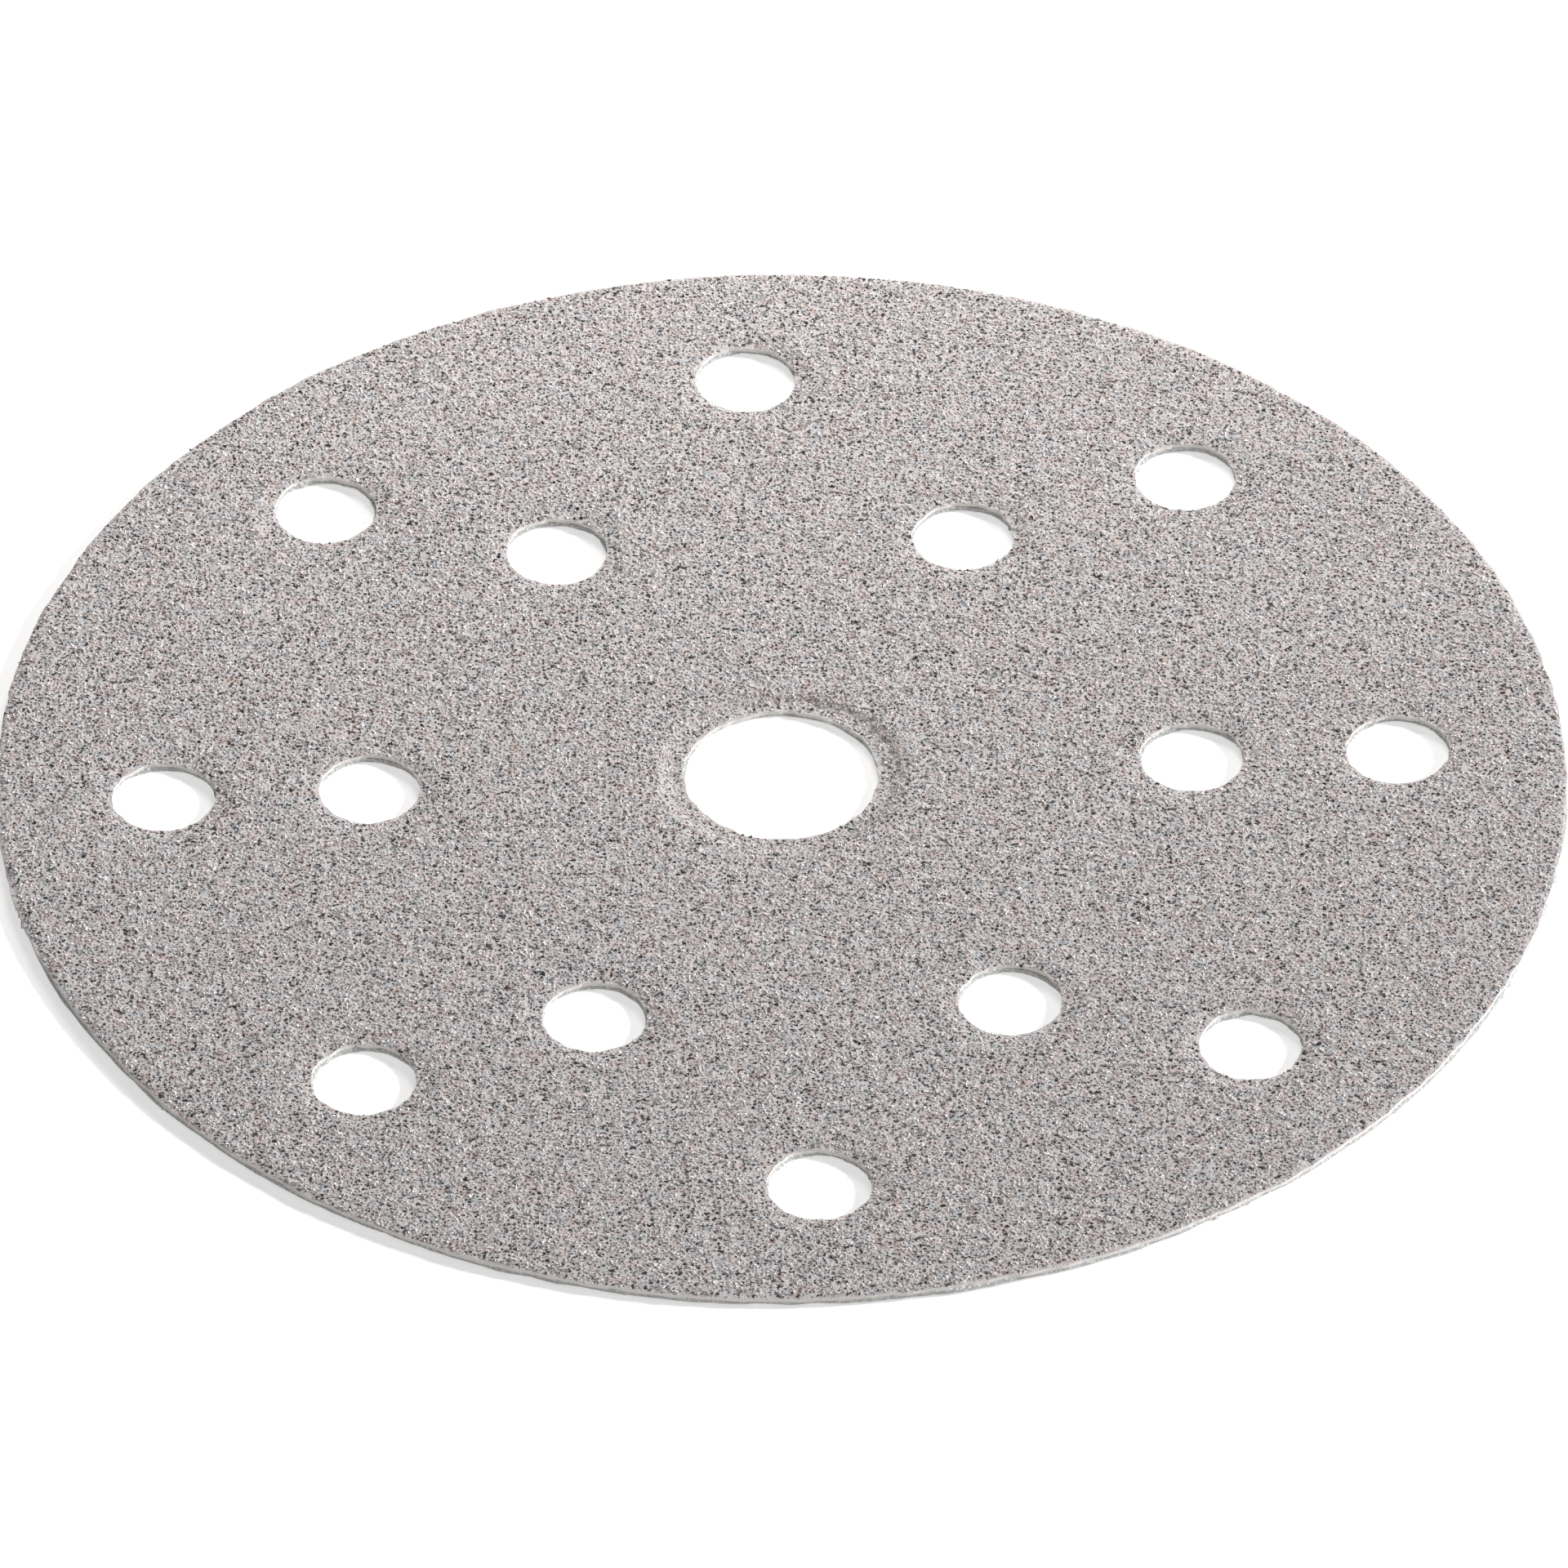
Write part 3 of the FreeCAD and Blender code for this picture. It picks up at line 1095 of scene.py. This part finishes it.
@dataclass
class LoopFabric:
    """Knitted ground and the loops that hang from it, under the sheet.

    A wale is the width of a loop's column, and a course the height of its row.
    """

    shape: DiscShape
    edge_band: Band = Band((0.0, 0.45, 0.9), 480)
    centre_band: Band = Band((0.0, 0.8, 1.4, 2.0, 2.6, 3.2), 90)
    dust_band: Band = Band((0.0, 0.8, 1.6, 2.3), 60)
    ground_thick: float = 0.40
    ground_lowest: float = 0.10
    rag: float = 0.09
    wale: float = 1.10
    course: float = 0.93
    row_jitter: float = 0.10
    turn_jitter: float = 0.22
    yarn_radius: float = 0.155
    yarn_sides: int = 3
    loop_span: float = 0.80
    loop_length: float = 1.20
    loop_steps: int = 3
    loop_clearance: float = 0.03
    rim_pitch: float = 0.62
    rim_span: float = 0.55
    rim_inset: float = 0.18
    rim_jitter: float = 0.2
    span_range: tuple[float, float] = (0.85, 1.15)
    length_range: tuple[float, float] = (0.85, 1.12)
    upright_range: tuple[float, float] = (0.05, 0.98)
    foot_spread: float = 0.04
    seed: int = 11

    def ground(self) -> Object:
        """Makes the knitted ground, which is glued under the paper.

        Returns:
            The piece, which stands for the fabric's solid.
        """
        material = KnitFinish().build()
        web = Web(
            self.shape, self.shape.seam, self.ground_thick,
            self.edge_band, self.centre_band, self.dust_band, self.rag, self.seed, self.ground_lowest,
        )
        return web.piece("knit_ground", FABRIC_NODE, Slot.LOOPS, [material, material])

    def loop_template(self) -> Templates:
        """Makes one loop of unit span that hangs from z = 0 to z = -1: a bent tube with closed ends.

        Returns:
            The one shape.
        """
        bm = bmesh.new()
        thick = self.yarn_radius / self.loop_span
        start = bmesh.ops.create_circle(bm, segments=self.yarn_sides, radius=thick, cap_ends=True)["verts"]
        bmesh.ops.translate(bm, verts=start, vec=Vector((0.5, 0, 0)))
        bmesh.ops.spin(
            bm, geom=[*bm.verts, *bm.edges, *bm.faces], axis=Vector((0, 1, 0)), cent=Vector((0, 0, 0)),
            angle=math.pi, steps=self.loop_steps, use_merge=False, use_duplicate=False,
        )
        depth = -min(vertex.co.z for vertex in bm.verts)
        bmesh.ops.scale(bm, verts=bm.verts, vec=Vector((1, 1, 1 / depth)))
        bmesh.ops.recalc_face_normals(bm, faces=bm.faces)
        made = Templates()
        made.add(bm)
        return made

    def field_rows(self, rng: Generator) -> ndarray:
        """Sets loops in knitted rows that all lean one way.

        Args:
            rng: Source of the loops' small differences.

        Returns:
            Rows of x, y, spin about Z, direction of the lean, span and length.
        """
        reach = self.shape.radius
        x, y = np.meshgrid(np.arange(-reach, reach, self.wale), np.arange(-reach, reach, self.course))
        x = x + (np.arange(x.shape[0]) % 2)[:, None] * self.wale / 2
        x = (x + rng.normal(0, self.row_jitter, x.shape)).ravel()
        y = (y + rng.normal(0, self.row_jitter, y.shape)).ravel()
        kept = self.shape.room(x, y) > self.loop_span / 2
        kept &= self.shape.room(x, y - self.loop_length) > self.row_jitter
        x, y = x[kept], y[kept]
        spin = rng.normal(0, self.turn_jitter, len(x))
        span = self.loop_span * rng.uniform(*self.span_range, len(x))
        length = self.loop_length * rng.uniform(*self.length_range, len(x))
        return np.stack([x, y, spin, spin - math.pi / 2, span, length])

    def rim_rows(self, rng: Generator) -> ndarray:
        """Sets loops side by side along every cut edge, leaning away from it.

        Args:
            rng: Source of the loops' small differences.

        Returns:
            Rows of x, y, spin about Z, direction of the lean, span and length.
        """
        found = []
        for circle, away in ((self.shape.outline, -1), *((hole, 1) for hole in self.shape.holes)):
            reach = circle.radius + away * self.rim_inset
            count = round(math.tau * reach / self.rim_pitch)
            jitter = rng.uniform(-self.rim_jitter, self.rim_jitter, count)
            angle = (np.arange(count) + jitter) * math.tau / count
            x, y = circle.x + reach * np.cos(angle), circle.y + reach * np.sin(angle)
            inward = angle + (math.pi if away < 0 else 0)
            length = self.shape.seam - self.shape.drop(x, y) - self.ground_lowest
            span = np.full(count, self.rim_span)
            found.append(np.stack([x, y, angle + math.pi / 2, inward, span, length]))
        return np.concatenate(found, 1)

    def hang(self, template: Templates, rng: Generator) -> Copies:
        """Hangs the loops from the ground down to the disc's lower face, flatter where the die pressed.

        Args:
            template: The one loop.
            rng: Source of the loops' small differences.

        Returns:
            The loops.
        """
        x, y, spin, way, span, length = np.concatenate([self.field_rows(rng), self.rim_rows(rng)], 1)
        kinds = np.zeros(len(x), int)
        seam = self.shape.seam - self.shape.drop(x, y)
        hung = np.maximum(seam - self.ground_thick, self.ground_lowest)
        lean = -np.arccos(np.clip(hung / length, *self.upright_range))
        turns = turn_matrices(spin, lean, way, np.stack([span, span, length], -1))
        lowest, highest = template.heights(kinds, turns)
        most = seam - self.loop_clearance - (highest - lowest)
        foot = np.maximum(np.minimum(rng.uniform(0, self.foot_spread, len(x)), most), 0)
        return Copies(kinds, turns, np.stack([x, y, foot - lowest], -1))

    def loops(self) -> list[Object]:
        """Makes the loops, in halves of the disc.

        Returns:
            The pieces.
        """
        template = self.loop_template()
        copies = self.hang(template, np.random.default_rng(self.seed))
        half = (copies.places[:, 1] > 0).astype(int)
        return copied_pieces("loops", template, copies, half, True, Slot.LOOPS, LoopFinish().build())

    def build(self) -> list[Object]:
        """All of the fabric's pieces."""
        return [self.ground(), *self.loops()]


# The stage

# Colours of the lamps.
COOL: Colour = (0.975, 1.0, 1.018)
WARM: Colour = (1.03, 1.0, 0.98)


@dataclass(frozen=True)
class PhotoCamera:
    """The camera of the reference view, as fitted to the outlines of the disc and its holes."""

    lens: float = 496.0
    sensor: float = 36.0
    azimuth: float = -3.421
    elevation: float = 40.697
    distance: float = 2.0967
    right: float = 0.000258
    up: float = -0.001324
    nearest: float = 0.05
    farthest: float = 20.0

    def build(self, top: float) -> None:
        """Makes the camera.

        Args:
            top: Height of the grit face, in metres.
        """
        turn, rise = math.radians(self.azimuth), math.radians(self.elevation)
        back = Vector((math.sin(turn) * math.cos(rise), -math.cos(turn) * math.cos(rise), math.sin(rise)))
        right = Vector((math.cos(turn), math.sin(turn), 0))
        data = bpy.data.cameras.new("photo_camera")
        data.lens, data.sensor_width = self.lens, self.sensor
        data.clip_start, data.clip_end = self.nearest, self.farthest
        camera = add_object("photo_camera", data)
        target = Vector((0, 0, top)) + right * self.right + back.cross(right) * self.up
        camera.location = target + back * self.distance
        camera.rotation_euler = (-back).to_track_quat("-Z", "Y").to_euler()
        bpy.context.scene.camera = camera


@dataclass(frozen=True)
class SoftLamp:
    """A square soft lamp aimed at the disc's centre. Its azimuth counts from the camera's right."""

    name: str
    azimuth: float
    elevation: float
    distance: float
    side: float
    level: float
    colour: Colour

    def build(self, camera: PhotoCamera) -> None:
        """Makes the lamp. Its level is the brightness that it alone gives white paper at the disc's centre.

        Args:
            camera: The camera that it is placed by.
        """
        turn = math.radians(camera.azimuth + self.azimuth)
        rise = math.radians(self.elevation)
        way = Vector((math.cos(turn) * math.cos(rise), math.sin(turn) * math.cos(rise), math.sin(rise)))
        data = bpy.data.lights.new(self.name, "AREA")
        data.shape, data.size, data.color = "SQUARE", self.side, self.colour
        data.energy = self.level * math.pi**2 * self.distance**2 / math.sin(rise)
        lamp = add_object(self.name, data)
        lamp.location = way * self.distance
        lamp.rotation_euler = (-way).to_track_quat("-Z", "Y").to_euler()
        lamp.visible_camera = False


@dataclass(frozen=True)
class Studio:
    """Pale floor, plain surroundings and soft lamps.

    The floor glows by floor_lift under the disc, so that its shadow shows, and turns quite white farther off.
    """

    ambient: float = 0.11
    floor_side: float = 8.0
    floor_white: float = 0.80
    floor_lift: float = 0.55
    lift_start: float = 0.12
    lift_end: float = 0.5
    lamps: tuple[SoftLamp, ...] = (
        SoftLamp("side_lamp", azimuth=8.0, elevation=27.0, distance=4.0, side=0.55, level=0.53, colour=COOL),
        SoftLamp("back_lamp", azimuth=90.0, elevation=30.0, distance=0.36, side=0.13, level=0.332, colour=WARM),
        SoftLamp("front_lamp", azimuth=-90.0, elevation=12.0, distance=1.5, side=0.5, level=0.045, colour=WARM),
    )

    @staticmethod
    def shown(tree: Tree) -> Value:
        """Tells the rays that carry a picture from those that carry light.

        Args:
            tree: The tree to add to.

        Returns:
            1 for a ray from the camera, off a glossy surface or through a clear one, and otherwise 0.
        """
        names = ("Is Camera Ray", "Is Glossy Ray", "Is Transmission Ray")
        camera, glossy, clear = (tree.node("ShaderNodeLightPath", {}, {}, name) for name in names)
        return tree.maths("MAXIMUM", tree.maths("MAXIMUM", camera, glossy), clear)

    def floor(self) -> None:
        """Makes the floor, which looks white and is still shaded by the disc."""
        bm = bmesh.new()
        bmesh.ops.create_grid(bm, x_segments=1, y_segments=1, size=self.floor_side / 2)
        mesh = bpy.data.meshes.new("floor")
        bm.to_mesh(mesh)
        bm.free()
        tree = Tree.material("floor_paper")
        paper = tree.node("ShaderNodeBsdfDiffuse", {}, {"Color": (self.floor_white,) * 3 + (1.0,)})
        reach = tree.node("ShaderNodeVectorMath", {"operation": "LENGTH"}, {0: tree.place(0.0)}, "Value")
        lift = reach.ramp(self.lift_start, self.lift_end, self.floor_lift, 1.0)
        glow = tree.node("ShaderNodeEmission", {}, {"Strength": self.shown(tree) * lift})
        both = tree.node("ShaderNodeAddShader", {}, {0: paper, 1: glow})
        tree.put("ShaderNodeOutputMaterial", {}, {"Surface": both})
        mesh.materials.append(tree.owner)
        add_object("floor", mesh)

    def surroundings(self) -> None:
        """Makes even light from all round, white where the camera looks past the floor."""
        world = bpy.data.worlds.new("surroundings")
        tree = Tree(world)
        strength = self.shown(tree) * (1 - self.ambient) + self.ambient
        backdrop = tree.node("ShaderNodeBackground", {}, {"Color": (1.0,) * 4, "Strength": strength})
        tree.put("ShaderNodeOutputWorld", {}, {"Surface": backdrop})
        bpy.context.scene.world = world

    def build(self, camera: PhotoCamera) -> None:
        """Makes the floor, the surroundings and the lamps.

        Args:
            camera: The camera that the lamps are placed by.
        """
        self.floor()
        self.surroundings()
        for lamp in self.lamps:
            lamp.build(camera)


def main() -> None:
    """Builds the camera, the stage and the disc's two layers, and reports each piece."""
    logging.basicConfig(level=logging.INFO, format="%(message)s")
    shape = DiscShape.from_frame()
    camera = PhotoCamera()
    camera.build(shape.top * MM)
    Studio().build(camera)
    for piece in (*GritSheet(shape).build(), *LoopFabric(shape).build()):
        triangles = sum(len(face.vertices) - 2 for face in piece.data.polygons)
        log.info("%s: %d triangles", piece.name, triangles)
    bpy.context.scene.view_settings.view_transform = "Standard"


if __name__ == "__main__":
    main()
